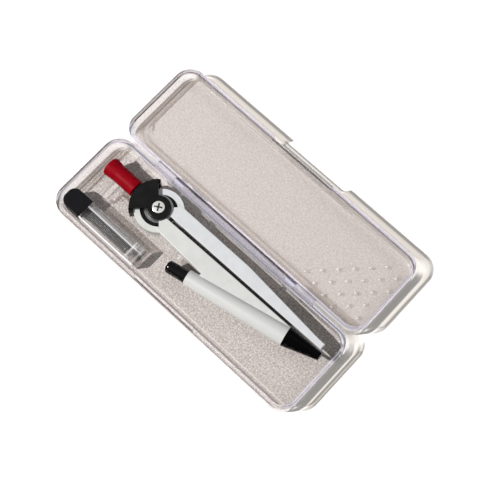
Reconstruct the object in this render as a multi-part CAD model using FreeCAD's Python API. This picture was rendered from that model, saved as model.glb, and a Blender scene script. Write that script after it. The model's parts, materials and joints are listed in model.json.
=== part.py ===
import FreeCAD, Part
import math
import os

V = FreeCAD.Vector
X_AXIS = V(1, 0, 0)
Y_AXIS = V(0, 1, 0)
Z_AXIS = V(0, 0, 1)

# Drafting instrument case, lying open on a table, in millimetres.
# X runs along the hinge, from the compass handle to its points. The tray is on the -Y side,
# the lid on the +Y side, the table is z = 0 and the origin is under the middle of the hinge.

# Clearances
running_gap = 0.05      # radial, a pin or sleeve turning in its bore
sliding_gap = 0.08      # radial, a piece sliding in its bore
face_gap = 0.03         # between flat faces that turn on each other
rest_gap = 0.05         # between a piece and the support it lies on
free_gap = 0.3          # between pieces that pass each other freely
rim_gap = 0.1           # between the rims of the closed case

# Case shells
shell_height = 10.5
end_wall = 1.8
front_wall = 1.8
back_wall = 2.2
floor_thickness = 1.8
corner_radius = 9.0
foot_radius = 2.4
rim_round = 0.4
inner_foot_radius = 1.2
hinge_offset = 0.6      # hinge axis to the back face of each shell

# Closing lip, tab and finger notch
lip_height = 1.2
lip_thickness = 0.8
lip_start = 8.0         # hinge axis to the ends of the lip
lip_gap = 0.15
tab_length = 37.0
tab_height = 4.0
tab_setback = 0.6
tab_corner = 1.2
tab_gap = 0.25

# Hinge
barrel_radius = 1.8
barrel_length = 76.0
ear_length = 11.7
hinge_pin_radius = 0.9
hinge_pin_length = 5.0
hinge_bore_extra = 0.5
hinge_gap = 0.25

# Raised dots on the lid floor
dot_radius = 0.85
dot_height = 0.5
dot_pitch = 7.0         # along a row
dot_row_pitch = 6.5
dot_stagger = 4.1       # each row to the one before it, along the rows
dot_turn = -12.0        # degrees, rows of dots against the hinge
dot_rows = 6
dot_columns = 5
dot_end_inset = 37.7    # first dot to the inside of the lid's end wall
dot_back_inset = 7.5    # first dot to the inside of the lid's back wall
dot_margin = 2.5        # least distance from a dot to the end wall

# Compass head
yoke_radius = 14.2
yoke_half_angle = 46.0
pencil_hook_angle = 52.5
needle_hook_angle = 50.0
yoke_half_thickness = 4.4
yoke_skirt = 2.0
yoke_hook_drop = 1.0
yoke_edge_round = 0.5
hub_radius = 5.9
hub_step_radius = 5.1
hub_step_height = 0.6
fan_thickness = 1.7
screw_head_radius = 3.0
screw_head_height = 1.4
screw_recess_gap = 0.2
screw_proud = 0.5
screw_edge_round = 0.4
screw_shank_radius = 1.3
screw_shank_length = 5.6
cross_length = 3.4
cross_width = 0.8
cross_depth = 0.7
cross_turn = 45.0       # degrees, cross against the compass axis
sleeve_radius = 2.5
disc_radius = 7.0
disc_thickness = 0.3
washer_radius = 8.7
washer_thickness = 0.3
lap_thickness = 1.2
lap_web = 0.8           # reach of the lap disc into its ring

# Handle
grip_length = 17.8
grip_end_radius = 5.0
grip_foot_radius = 4.25
grip_flare_length = 6.4
grip_end_round = 1.2
grip_foot_round = 0.4
stem_radius = 1.9
stem_neck = 0.7
stem_depth = 8.0
stem_flange_radius = 2.8
stem_flange_thickness = 0.6

# Legs
leg_half_thickness = 2.4
leg_edge_round = 0.4
ring_half_thickness = 2.3
ring_width = 2.9
ring_start_angle = 20.0
ring_end_angle = 134.0
web_end_angle = 100.0
slot_angle = 46.0       # degrees, leg to the slot between ring and hub
arm_inner = 8.0         # the needle leg's ring is an arm whose centre lies off the pivot
arm_outer = 10.85
arm_shift = 1.7
arm_end_angle = 145.0
needle_leg_length = 100.5
needle_leg_width = 7.3
needle_leg_inner_root = 0.85
needle_leg_inner_end = 1.65
needle_leg_taper_length = 46.0
needle_leg_end_length = 4.0
needle_leg_end_width = 3.1
needle_radius = 0.6
needle_offset = 0.75    # needle axis to the inner edge of the leg end
needle_depth = 9.0
needle_reach = 6.2
needle_taper = 3.0
pencil_leg_inner_root = 1.0
pencil_leg_width = 7.0
pencil_leg_flare = 1.3
strip_thickness = 0.7
strip_start = 13.0
strip_inset = 0.4
strip_end_inset = 1.0

# Pencil
pencil_angle = 11.35    # degrees, pencil axis against the compass axis, which meet at the pencil's tip
tip_setback = 0.5       # needle point to the pencil's tip, along the compass
pencil_length = 53.3
pencil_back_radius = 3.9
pencil_front_radius = 4.9
pencil_bore = 3.2
button_length = 11.0
button_depth = 5.0
button_round = 1.6
button_travel = 2.0
nose_length = 18.1
nose_end_radius = 1.9
nose_spigot_length = 7.0
nose_bore = 2.5
nose_bore_depth = 8.7
jaw_bore = 1.65
jaw_bore_depth = 4.4
tip_radius = 1.0
tip_length = 4.0
tip_root_radius = 1.3
tip_end_round = 0.4
lead_radius = 0.35
lead_set_back = 1.8
lead_length = 63.0
reservoir_radius = 1.7
reservoir_bore = 1.1
reservoir_socket = 8.0
collet_depth = 4.0
collet_head_radius = 1.5
collet_head_length = 3.5
collet_slit = 0.3
collet_slit_length = 9.0
clutch_ring_length = 3.0
spring_wire_radius = 0.25
spring_wire_sides = 6
spring_pitch = 1.5

# Spare lead box
box_width = 10.0
box_height = 7.0
box_length = 34.6
box_end_block = 4.0
box_edge_round = 0.5
cap_length = 12.5
cap_end_round = 4.0
cap_wall = 0.8
neck_length = 6.0
neck_wall = 0.8
spare_lead_slack = 0.5  # room at the open end of the leads
spare_lead_gap = 0.06
spare_lead_count = 6    # in the lowest layer
spare_lead_layers = 2

# Where things lie in the tray
handle_gap = 6.4        # end wall to the handle
point_gap = 0.6         # needle point to the other end wall
ring_gap = 0.9          # back wall to the leg ring
head_box_gap = 4.2      # compass head to the lead box
box_front_gap = 2.5     # lead box to the front wall
box_end_gap = 0.1       # lead box cap to the foot of the end wall
barrel_floor_gap = 1.3  # tray floor to the pencil barrel

# Cradle ribs in the tray
rib_thickness = 3.4
grip_rib_inset = 8.9    # handle end to the middle of its rib
grip_rib_reach = 13.4
grip_wall_offset = 2.85
grip_wall_length = 7.7
grip_wall_thickness = 1.0
grip_wall_drop = 2.0
leg_rib_setback = 9.1   # middle of the leg rib to the back of the pencil barrel
leg_rib_post = 2.0
leg_rib_gap = 0.5
leg_rib_drop = 0.4      # compass mid-plane to the tops of the posts
point_rib_setback = 27.8  # middle of the rib near the points to the end of the needle leg's taper
point_rib_thickness = 2.0
point_rib_gap = 1.2
point_rib_reach = 1.4

# Sizes that follow from the above
ring_inner = washer_radius + free_gap
ring_outer = ring_inner + ring_width
hub_seat = face_gap + lap_thickness + washer_thickness + disc_thickness + face_gap
head_to_handle = yoke_radius + stem_neck
needle_point = needle_leg_length + needle_reach
needle_leg_taper_end = needle_leg_length - needle_leg_end_length
needle_leg_taper_start = needle_leg_taper_end - needle_leg_taper_length
pencil_reach = pencil_length + nose_length + tip_length
barrel_back_x = needle_point - tip_setback - pencil_reach * math.cos(math.radians(pencil_angle))
barrel_back_y = pencil_reach * math.sin(math.radians(pencil_angle))
leg_rib_at = barrel_back_x - leg_rib_setback
point_rib_at = needle_leg_taper_end - point_rib_setback
compass_length = head_to_handle + grip_length + needle_point
case_length = end_wall + handle_gap + compass_length + point_gap + end_wall
half_length = case_length / 2
hinge_z = shell_height + rim_gap / 2
back_inner = hinge_offset + back_wall
pivot_x = -half_length + end_wall + handle_gap + grip_length + head_to_handle
pivot_y = -(back_inner + ring_gap + ring_outer)
compass_z = floor_thickness + barrel_floor_gap + pencil_front_radius
box_back_y = pivot_y - yoke_radius - head_box_gap
box_front_y = box_back_y - box_width
front_inner = -box_front_y + box_front_gap
shell_width = front_inner + front_wall
inner_half_length = half_length - end_wall
box_start_x = -inner_half_length + inner_foot_radius + box_end_gap
box_joint_x = box_start_x + cap_length
pivot = V(pivot_x, pivot_y, compass_z)


def block(x0, x1, y0, y1, z0, z1):
    return Part.makeBox(x1 - x0, y1 - y0, z1 - z0, V(x0, y0, z0))


def rod(radius, start, direction, length):
    return Part.makeCylinder(radius, length, start, direction)


def disc(radius, z0, z1):
    return rod(radius, V(0, 0, z0), Z_AXIS, z1 - z0)


def prism(points, z0, z1):
    corners = [V(x, y, z0) for x, y in points]
    outline = Part.makePolygon(corners + corners[:1])
    return Part.Face(outline).extrude(V(0, 0, z1 - z0))


def sector(radius, z0, z1, from_angle, to_angle):
    wedge = Part.makeCylinder(radius, z1 - z0, V(0, 0, z0), Z_AXIS, to_angle - from_angle)
    wedge.rotate(V(0, 0, 0), Z_AXIS, from_angle)
    return wedge


def ring_sector(inner, outer, z0, z1, from_angle, to_angle):
    return sector(outer, z0, z1, from_angle, to_angle).cut(disc(inner, z0, z1))


def turned(profile, from_angle=0, to_angle=360):
    corners = [V(radius, 0, along) for along, radius in profile]
    outline = Part.makePolygon(corners + corners[:1])
    shape = Part.Face(outline).revolve(V(0, 0, 0), Z_AXIS, to_angle - from_angle)
    shape.rotate(V(0, 0, 0), Z_AXIS, from_angle)
    return shape


def edges_at(shape, z):
    return [e for e in shape.Edges if all(abs(v.Z - z) < 1e-6 for v in e.Vertexes)]


def upright_edges(shape):
    return [e for e in shape.Edges if abs(e.Vertexes[0].Z - e.Vertexes[-1].Z) > 1e-6]


def tub(x0, x1, y0, y1, z0, z1, corner, foot):
    shape = block(x0, x1, y0, y1, z0, z1)
    shape = shape.makeFillet(corner, upright_edges(shape))
    return shape.makeFillet(foot, edges_at(shape, z0))


def at_lid(shape):
    return shape.mirror(V(0, 0, 0), Y_AXIS)


def on_pencil(shape):
    placed = shape.copy()
    placed.rotate(V(0, 0, 0), Y_AXIS, 90)
    placed.rotate(V(0, 0, 0), Z_AXIS, pencil_angle)
    placed.translate(V(barrel_back_x, -barrel_back_y, 0))
    return placed


def pencil_point(along, across):
    turn = math.radians(pencil_angle)
    x = barrel_back_x + along * math.cos(turn) - across * math.sin(turn)
    y = -barrel_back_y + along * math.sin(turn) + across * math.cos(turn)
    return (x, y)


def save(name, shape):
    solids = shape.Solids
    whole = solids[0] if len(solids) == 1 else Part.makeCompound(solids)
    whole.exportStep("parts/" + name + ".step")
    print(name, len(solids), "solid", round(whole.Volume, 2), "mm3", whole.isValid())


def save_on_compass(name, shape):
    placed = shape.copy()
    placed.translate(pivot)
    save(name, placed)


# Case shells, both made on the tray side and mirrored for the lid
def cavity(grow, z0, z1):
    corner = corner_radius - end_wall + grow
    shape = block(-inner_half_length - grow, inner_half_length + grow,
                  -front_inner - grow, -back_inner + grow, z0, z1)
    return shape.makeFillet(corner, upright_edges(shape))


def plain_shell():
    outer = tub(-half_length, half_length, -shell_width, -hinge_offset,
                0, shell_height, corner_radius, foot_radius)
    outer = outer.makeFillet(rim_round, edges_at(outer, shell_height))
    hollow = tub(-inner_half_length, inner_half_length, -front_inner, -back_inner,
                 floor_thickness, shell_height + tab_height, corner_radius - end_wall, inner_foot_radius)
    return outer.cut(hollow)


def lip_band(thickness, z0, z1, start):
    band = cavity(thickness, z0, z1).cut(cavity(0, z0, z1))
    return band.common(block(-half_length, half_length, -shell_width, -start, z0, z1))


def hinge_rod(radius, x0, x1):
    return rod(radius, V(x0, 0, hinge_z), X_AXIS, x1 - x0)


ear_start = barrel_length / 2 + hinge_gap
ear_end = ear_start + ear_length


def hinge_pair(radius, near, far):
    return hinge_rod(radius, near, far).fuse(hinge_rod(radius, -far, -near))


def closing_tab():
    tab = block(-tab_length / 2, tab_length / 2, -shell_width + tab_setback, -front_inner,
                shell_height - lip_height, shell_height + tab_height)
    top = [e for e in upright_to_front(tab) if e.CenterOfMass.z > shell_height]
    return tab.makeFillet(tab_corner, top)


def upright_to_front(shape):
    return [e for e in shape.Edges if abs(e.Vertexes[0].Y - e.Vertexes[-1].Y) > 1e-6]


def finger_notch():
    half = tab_length / 2 + tab_gap
    deep = tab_height + tab_gap
    notch = block(-half, half, -shell_width - free_gap, -front_inner + free_gap,
                  shell_height - deep, shell_height + deep)
    low = [e for e in upright_to_front(notch) if e.CenterOfMass.z < shell_height]
    return notch.makeFillet(tab_corner, low)


def grip_cradle():
    middle = pivot_x - head_to_handle - grip_length + grip_rib_inset
    x0 = middle - rib_thickness / 2
    x1 = middle + rib_thickness / 2
    rib = block(x0, x1, pivot_y - grip_rib_reach, -back_inner, 0, compass_z)
    for side in (-1, 1):
        y = pivot_y + side * (grip_foot_radius + grip_wall_offset)
        wall = block(x1, x1 + grip_wall_length, y - grip_wall_thickness / 2, y + grip_wall_thickness / 2,
                     0, compass_z - grip_wall_drop)
        rib = rib.fuse(wall)
    seat = rod(grip_foot_radius + free_gap, V(x0, pivot_y, compass_z), X_AXIS, rib_thickness)
    return rib.cut(seat)


def leg_cradle():
    x = pivot_x + leg_rib_at
    low = compass_z - leg_half_thickness - rest_gap
    front = pivot_y - pencil_leg_edge(leg_rib_at) - leg_rib_gap
    back = pivot_y + needle_leg_inner_root + needle_leg_width + leg_rib_gap
    rib = block(x - rib_thickness / 2, x + rib_thickness / 2, front - leg_rib_post, -back_inner,
                0, compass_z - leg_rib_drop)
    return rib.cut(block(x - rib_thickness, x + rib_thickness, front, back, low, compass_z))


def point_cradle():
    x = pivot_x + point_rib_at
    low = compass_z - leg_half_thickness - rest_gap
    back = pivot_y + needle_leg_inner_root + needle_leg_width + point_rib_gap
    rib = block(x - point_rib_thickness / 2, x + point_rib_thickness / 2, pivot_y - point_rib_reach,
                -back_inner, 0, compass_z - leg_rib_drop)
    room = block(x - rib_thickness, x + rib_thickness, pivot_y - rib_thickness, back, low, compass_z)
    return rib.cut(room)


def tray_shell():
    shell = plain_shell()
    shell = shell.fuse([lip_band(lip_thickness, shell_height, shell_height + lip_height, lip_start),
                        closing_tab(), grip_cradle(), leg_cradle(), point_cradle()])
    shell = shell.cut(hinge_pair(barrel_radius + hinge_gap, barrel_length / 2, ear_end + hinge_gap))
    shell = shell.fuse(hinge_rod(barrel_radius, -barrel_length / 2, barrel_length / 2))
    bore_depth = hinge_pin_length + hinge_bore_extra
    return shell.cut(hinge_pair(hinge_pin_radius + running_gap, barrel_length / 2 - bore_depth, ear_start))


def lid_dots():
    ball_radius = (dot_radius ** 2 + dot_height ** 2) / (2 * dot_height)
    ball_z = floor_thickness + dot_height - ball_radius
    turn = math.radians(dot_turn)
    dots = []
    for row in range(dot_rows):
        for column in range(dot_columns):
            along = column * dot_pitch + row * dot_stagger
            across = row * dot_row_pitch
            x = inner_half_length - dot_end_inset + along * math.cos(turn) - across * math.sin(turn)
            y = back_inner + dot_back_inset + along * math.sin(turn) + across * math.cos(turn)
            inside = y > back_inner + dot_margin / 2 and x < inner_half_length - dot_margin
            if inside:
                dots.append(Part.makeSphere(ball_radius, V(x, y, ball_z)))
    return dots


def lid_shell():
    shell = plain_shell()
    rabbet_depth = lip_height + lip_gap
    rabbet = lip_band(lip_thickness + lip_gap, shell_height - rabbet_depth, shell_height,
                      lip_start - lip_gap)
    shell = shell.cut([rabbet, finger_notch()])
    shell = at_lid(shell)
    shell = shell.cut(hinge_rod(barrel_radius + hinge_gap, -ear_start, ear_start))
    ears = hinge_pair(barrel_radius, ear_start, ear_end)
    pins = hinge_pair(hinge_pin_radius, ear_start - hinge_gap - hinge_pin_length, ear_end)
    return shell.fuse([ears, pins] + lid_dots())


# Compass head, made about the pivot with its mid-plane at z = 0
def yoke_half():
    under = yoke_half_thickness - fan_thickness
    split = face_gap / 2
    inner = yoke_radius - yoke_skirt
    fan = turned([(under, 0), (under, inner), (split, inner), (split, yoke_radius),
                  (yoke_half_thickness, yoke_radius), (yoke_half_thickness, 0)],
                 180 - yoke_half_angle, 180 + yoke_half_angle)
    rim = [e for e in edges_at(fan, yoke_half_thickness) if isinstance(e.Curve, Part.Circle)]
    fan = fan.makeFillet(yoke_edge_round, rim)
    hook_top = yoke_half_thickness - yoke_hook_drop
    needle_hook = ring_sector(inner, yoke_radius, split, hook_top,
                              180 - needle_hook_angle, 180 - yoke_half_angle)
    pencil_hook = ring_sector(inner, yoke_radius, split, hook_top,
                              180 + yoke_half_angle, 180 + pencil_hook_angle)
    hub = turned([(hub_seat, 0), (hub_seat, hub_radius), (yoke_half_thickness - hub_step_height, hub_radius),
                  (yoke_half_thickness, hub_step_radius), (yoke_half_thickness, 0)])
    return fan.fuse([needle_hook, pencil_hook, hub]).cut(stem())


def head_recess():
    floor = yoke_half_thickness + screw_proud - screw_head_height
    return disc(screw_head_radius + screw_recess_gap, floor, yoke_half_thickness)


def stem():
    flange_at = yoke_radius - (yoke_skirt + stem_flange_thickness) / 2
    start = yoke_radius - yoke_skirt
    shank = rod(stem_radius, V(-start, 0, 0), -X_AXIS, yoke_skirt + stem_neck + stem_depth)
    flange = rod(stem_flange_radius, V(-flange_at, 0, 0), -X_AXIS, stem_flange_thickness)
    return shank.fuse(flange)


def yoke_front():
    shank_hole = disc(screw_shank_radius, 0, yoke_half_thickness)
    return yoke_half().cut([head_recess(), shank_hole])


def yoke_back():
    sleeve_hole = disc(sleeve_radius, 0, yoke_half_thickness)
    half = yoke_half().cut([head_recess(), sleeve_hole])
    return half.mirror(V(0, 0, 0), Z_AXIS)


def pivot_screw():
    top = yoke_half_thickness + screw_proud
    head = disc(screw_head_radius, top - screw_head_height, top)
    head = head.makeFillet(screw_edge_round, edges_at(head, top))
    shank = disc(screw_shank_radius, top - screw_head_height - screw_shank_length, top - screw_head_height)
    cross = block(-cross_length / 2, cross_length / 2, -cross_width / 2, cross_width / 2,
                  top - cross_depth, top)
    other = cross.copy()
    other.rotate(V(0, 0, 0), Z_AXIS, 90)
    driven = head.fuse(shank).cut([cross, other])
    driven.rotate(V(0, 0, 0), Z_AXIS, cross_turn)
    return driven


def sleeve_nut():
    foot = yoke_half_thickness + screw_proud
    head = disc(screw_head_radius, -foot, -foot + screw_head_height)
    sleeve = disc(sleeve_radius, -foot + screw_head_height, hub_seat)
    thread = disc(screw_shank_radius, -foot + screw_head_height, hub_seat)
    return head.fuse(sleeve).cut(thread)


def friction_disc():
    return disc(disc_radius, hub_seat - disc_thickness, hub_seat).cut(disc(sleeve_radius, 0, hub_seat))


def head_washer():
    top = hub_seat - disc_thickness
    return disc(washer_radius, top - washer_thickness, top).cut(disc(sleeve_radius, 0, top))


def grip():
    flare_start = grip_length - grip_flare_length
    handle = turned([(0, 0), (0, grip_foot_radius), (flare_start, grip_foot_radius),
                     (grip_length, grip_end_radius), (grip_length, 0)])
    handle = handle.makeFillet(grip_foot_round, edges_at(handle, 0))
    handle = handle.makeFillet(grip_end_round, edges_at(handle, grip_length))
    handle.rotate(V(0, 0, 0), Y_AXIS, -90)
    handle.translate(V(-head_to_handle, 0, 0))
    return handle.cut(stem())


# Legs, each with a plate, a ring round the head and a lap disc on the pivot sleeve.
# Above and below the discs the plates reach in to the hub as thin lips.
def between_lips():
    lip_face = hub_seat + face_gap
    return disc(ring_inner, -lip_face, lip_face)


def leg_plate(points, side):
    plate = prism(points, -leg_half_thickness, leg_half_thickness)
    long_edges = edges_at(plate, leg_half_thickness) + edges_at(plate, -leg_half_thickness)
    plate = plate.makeFillet(leg_edge_round, long_edges)
    first, last = sorted((side * slot_angle, side * ring_end_angle))
    slot = sector(ring_inner, -leg_half_thickness, leg_half_thickness, first, last)
    hub_room = disc(hub_radius + free_gap, -leg_half_thickness, leg_half_thickness)
    return plate.cut([between_lips(), slot, hub_room])


def leg_head(side, ring):
    first, last = sorted((side * ring_start_angle, side * web_end_angle))
    levels = sorted((side * face_gap / 2, side * (face_gap / 2 + lap_thickness)))
    lap = disc(washer_radius, levels[0], levels[1])
    web = ring_sector(sleeve_radius, ring_inner + lap_web, levels[0], levels[1], first, last)
    return ring.fuse([lap, web]).cut(disc(sleeve_radius + running_gap, levels[0], levels[1]))


def needle_arm():
    arm = ring_sector(arm_inner, arm_outer, -ring_half_thickness, ring_half_thickness,
                      ring_start_angle, arm_end_angle)
    arm.translate(V(arm_shift, 0, 0))
    return arm.cut(between_lips())


def pencil_ring():
    return ring_sector(ring_inner, ring_outer, -ring_half_thickness, ring_half_thickness,
                       -ring_end_angle, -ring_start_angle)


def needle_leg():
    outer = needle_leg_inner_root + needle_leg_width
    end_outer = needle_leg_inner_end + needle_leg_end_width
    plate = leg_plate([(0, needle_leg_inner_root), (needle_leg_length, needle_leg_inner_end),
                       (needle_leg_length, end_outer), (needle_leg_taper_end, end_outer),
                       (needle_leg_taper_start, outer), (0, outer)], 1)
    return plate.fuse(leg_head(1, needle_arm())).cut(needle())


def needle():
    length = needle_depth + needle_reach
    point = turned([(0, 0), (0, needle_radius), (length - needle_taper, needle_radius), (length, 0)])
    point.rotate(V(0, 0, 0), Y_AXIS, 90)
    point.translate(V(needle_leg_length - needle_depth, needle_leg_inner_end + needle_offset, 0))
    return point


def pencil_leg_edge(along):
    slope = pencil_leg_flare / (barrel_back_x + pencil_back_radius)
    return pencil_leg_inner_root + pencil_leg_width + slope * along


def pencil_inner_end():
    return pencil_point(pencil_length, pencil_front_radius - leg_edge_round)


def pencil_leg():
    outer_x = barrel_back_x + pencil_back_radius
    plate = leg_plate([(0, -pencil_leg_inner_root), pencil_inner_end(), pencil_point(pencil_length, 0),
                       pencil_point(pencil_back_radius, 0), (outer_x, -pencil_leg_edge(outer_x)),
                       (0, -pencil_leg_edge(0))], -1)
    bore = on_pencil(disc(pencil_bore, 0, pencil_length))
    return plate.fuse([leg_head(-1, pencil_ring()), pencil_barrel()]).cut(bore)


def pencil_barrel():
    return on_pencil(Part.makeCone(pencil_back_radius, pencil_front_radius, pencil_length))


def leg_strip():
    end_x, end_y = pencil_inner_end()
    slope = (end_y + pencil_leg_inner_root) / end_x
    strip_end = end_x - strip_end_inset
    start_y = slope * strip_start - pencil_leg_inner_root
    stop_y = slope * strip_end - pencil_leg_inner_root
    half = leg_half_thickness - strip_inset
    strip = prism([(strip_start, start_y), (strip_end, stop_y), (strip_end, stop_y + strip_thickness),
                   (strip_start, start_y + strip_thickness)], -half, half)
    return strip.cut(pencil_barrel())


# Pencil pieces, turned about the pencil axis from the back of the barrel
nose_start = pencil_length - nose_spigot_length
nose_end = pencil_length + nose_length
ring_at = pencil_length + nose_bore_depth - button_travel - clutch_ring_length
jaw_end = pencil_length + nose_bore_depth + jaw_bore_depth
tip_end = nose_end + tip_length
collet_front = ring_at + clutch_ring_length + lead_radius
reservoir_front = nose_start


def nose_cone():
    return on_pencil(turned([(nose_start, nose_bore), (nose_start, pencil_bore),
                             (pencil_length, pencil_bore), (pencil_length, pencil_front_radius),
                             (nose_end, nose_end_radius),
                             (nose_end, tip_root_radius), (jaw_end, tip_root_radius), (jaw_end, jaw_bore),
                             (pencil_length + nose_bore_depth, jaw_bore),
                             (pencil_length + nose_bore_depth, nose_bore)]))


def tip_sleeve():
    bore = lead_radius + running_gap
    return on_pencil(turned([(jaw_end, bore), (jaw_end, tip_root_radius), (nose_end, tip_root_radius),
                             (nose_end, tip_radius), (tip_end - tip_end_round, tip_radius),
                             (tip_end, tip_radius - tip_end_round), (tip_end, bore)]))


def push_button():
    radius = pencil_bore - sliding_gap
    body = disc(radius, -button_length, button_depth)
    body = body.makeFillet(button_round, edges_at(body, -button_length))
    return on_pencil(body.cut(disc(reservoir_radius, button_depth - reservoir_socket, button_depth)))


def lead_reservoir():
    start = button_depth - reservoir_socket
    return on_pencil(turned([(start, reservoir_bore), (start, reservoir_radius),
                             (reservoir_front, reservoir_radius), (reservoir_front, reservoir_bore)]))


def clutch_collet():
    head = collet_front - collet_head_length
    back = reservoir_front - collet_depth
    body = turned([(back, lead_radius), (back, reservoir_bore),
                   (head, reservoir_bore), (head + lead_radius, collet_head_radius),
                   (collet_front, collet_head_radius), (collet_front, lead_radius)])
    slit = block(-collet_head_radius, collet_head_radius, -collet_slit / 2, collet_slit / 2,
                 collet_front - collet_slit_length, collet_front)
    return on_pencil(body.cut(slit))


def clutch_ring():
    bore = collet_head_radius + sliding_gap
    front = ring_at + clutch_ring_length
    return on_pencil(turned([(ring_at, bore), (ring_at, nose_bore), (front, nose_bore), (front, bore)]))


def return_spring():
    start = reservoir_front + button_travel + rest_gap + spring_wire_radius
    height = ring_at - spring_wire_radius - start
    radius = (nose_bore + reservoir_bore) / 2
    path = Part.Wire(Part.makeHelix(spring_pitch, height, radius).Edges)
    corners = []
    for corner in range(spring_wire_sides + 1):
        turn = math.radians(360 * corner / spring_wire_sides)
        across = spring_wire_radius * math.cos(turn)
        along = spring_wire_radius * math.sin(turn)
        corners.append(V(radius + across, 0, along))
    section = Part.makePolygon(corners)
    coil = path.makePipeShell([section], True, True)
    coil.translate(V(0, 0, start))
    return on_pencil(coil)


def pencil_lead():
    front = tip_end - lead_set_back
    return on_pencil(disc(lead_radius, front - lead_length, front))


# Spare lead box, lying along the front wall of the tray
box_mid_y = (box_back_y + box_front_y) / 2
box_low = floor_thickness + rest_gap


def box_piece(x0, x1, inset):
    return block(x0, x1, box_front_y + inset, box_back_y - inset,
                 box_low + inset, box_low + box_height - inset)


def long_edges(shape):
    return [e for e in shape.Edges if abs(e.Vertexes[0].X - e.Vertexes[-1].X) > 1e-6]


def lead_box():
    body = box_piece(box_joint_x, box_joint_x + box_length, 0)
    body = body.makeFillet(box_edge_round, long_edges(body))
    neck = box_piece(box_joint_x - neck_length, box_joint_x, cap_wall + sliding_gap)
    inside = cap_wall + sliding_gap + neck_wall
    hollow = box_piece(box_joint_x - neck_length, box_joint_x + box_length - box_end_block, inside)
    return body.fuse(neck).cut(hollow)


def lead_box_cap():
    cap = box_piece(box_start_x, box_joint_x - rest_gap, 0)
    end = [e for e in upright_edges(cap) if e.CenterOfMass.x < box_joint_x - cap_length / 2]
    cap = cap.makeFillet(cap_end_round, end)
    socket = box_piece(box_joint_x - neck_length - free_gap, box_joint_x, cap_wall)
    return cap.cut(socket)


def spare_leads():
    pitch = 2 * lead_radius + spare_lead_gap
    layer_rise = pitch * math.sin(math.radians(60))
    inside = cap_wall + sliding_gap + neck_wall
    end = box_joint_x + box_length - box_end_block - rest_gap
    length = end - box_joint_x - spare_lead_slack
    leads = []
    for layer in range(spare_lead_layers):
        z = box_low + inside + rest_gap + lead_radius + layer * layer_rise
        for place in range(spare_lead_count - layer):
            y = box_mid_y + (place - (spare_lead_count - layer - 1) / 2) * pitch
            leads.append(rod(lead_radius, V(end, y, z), -X_AXIS, length))
    return Part.makeCompound(leads)


os.makedirs("parts", exist_ok=True)
print("case", round(case_length, 1), "x", round(2 * shell_width, 1), "open; pivot", pivot)
save("tray_shell", tray_shell())
save("lid_shell", lid_shell())
save_on_compass("grip", grip())
save_on_compass("grip_stem", stem())
save_on_compass("yoke_front", yoke_front())
save_on_compass("yoke_back", yoke_back())
save_on_compass("pivot_screw", pivot_screw())
save_on_compass("sleeve_nut", sleeve_nut())
save_on_compass("friction_disc_front", friction_disc())
save_on_compass("friction_disc_back", friction_disc().mirror(V(0, 0, 0), Z_AXIS))
save_on_compass("washer_front", head_washer())
save_on_compass("washer_back", head_washer().mirror(V(0, 0, 0), Z_AXIS))
save_on_compass("needle_leg", needle_leg())
save_on_compass("needle", needle())
save_on_compass("pencil_leg", pencil_leg())
save_on_compass("leg_strip", leg_strip())
save_on_compass("nose_cone", nose_cone())
save_on_compass("tip_sleeve", tip_sleeve())
save_on_compass("push_button", push_button())
save_on_compass("lead_reservoir", lead_reservoir())
save_on_compass("clutch_collet", clutch_collet())
save_on_compass("clutch_ring", clutch_ring())
save_on_compass("return_spring", return_spring())
save_on_compass("pencil_lead", pencil_lead())
save("lead_box", lead_box())
save("lead_box_cap", lead_box_cap())
save("spare_leads", spare_leads())
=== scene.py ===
# %% [markdown]
# # A clear drafting instrument case
# The case lies open on a table: a clear tray with a compass and a box of spare leads, and a clear
# lid beside it. The solids come ready packed, in metres, so this script starts by loading them.
# They stay where they are. What is added here is what the eye needs: light, finishes, and the
# finer shapes that plain solids lack.

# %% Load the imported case
import json
import math

import bmesh
import bpy
from mathutils import Matrix, Vector


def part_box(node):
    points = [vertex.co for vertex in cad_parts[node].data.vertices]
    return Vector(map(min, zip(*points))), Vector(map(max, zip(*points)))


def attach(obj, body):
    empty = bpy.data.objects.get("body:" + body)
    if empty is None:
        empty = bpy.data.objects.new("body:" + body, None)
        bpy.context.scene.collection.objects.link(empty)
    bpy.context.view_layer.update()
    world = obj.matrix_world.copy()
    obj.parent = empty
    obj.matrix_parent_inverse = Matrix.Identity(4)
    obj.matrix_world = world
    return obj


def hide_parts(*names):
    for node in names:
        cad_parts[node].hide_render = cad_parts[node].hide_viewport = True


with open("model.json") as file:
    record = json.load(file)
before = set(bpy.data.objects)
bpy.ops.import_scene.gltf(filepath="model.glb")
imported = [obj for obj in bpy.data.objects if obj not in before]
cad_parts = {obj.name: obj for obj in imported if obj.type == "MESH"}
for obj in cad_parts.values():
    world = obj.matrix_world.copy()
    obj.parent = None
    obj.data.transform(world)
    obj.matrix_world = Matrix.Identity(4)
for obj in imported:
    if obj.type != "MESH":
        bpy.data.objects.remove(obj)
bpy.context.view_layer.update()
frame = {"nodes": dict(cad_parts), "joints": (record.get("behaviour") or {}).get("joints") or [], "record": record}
nodes = frame["nodes"]

# %% [markdown]
# ## Camera
# The photograph looks down steeply from beyond the front corner of the tray. A camera is a place,
# a point it looks at and the direction that is level in the picture. Setting its three axes
# directly is safer than turning it by angles, because nothing has to be guessed about their order.

# %% Camera
camera_place = Vector((0.10966, -0.10784, 0.52973))
camera_target = Vector((0.00915, 0.00071, 0.0))
picture_right = Vector((0.7337, 0.6794, 0.0)).normalized()
picture_size = 500
focal_pixels = 1160.7

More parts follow.
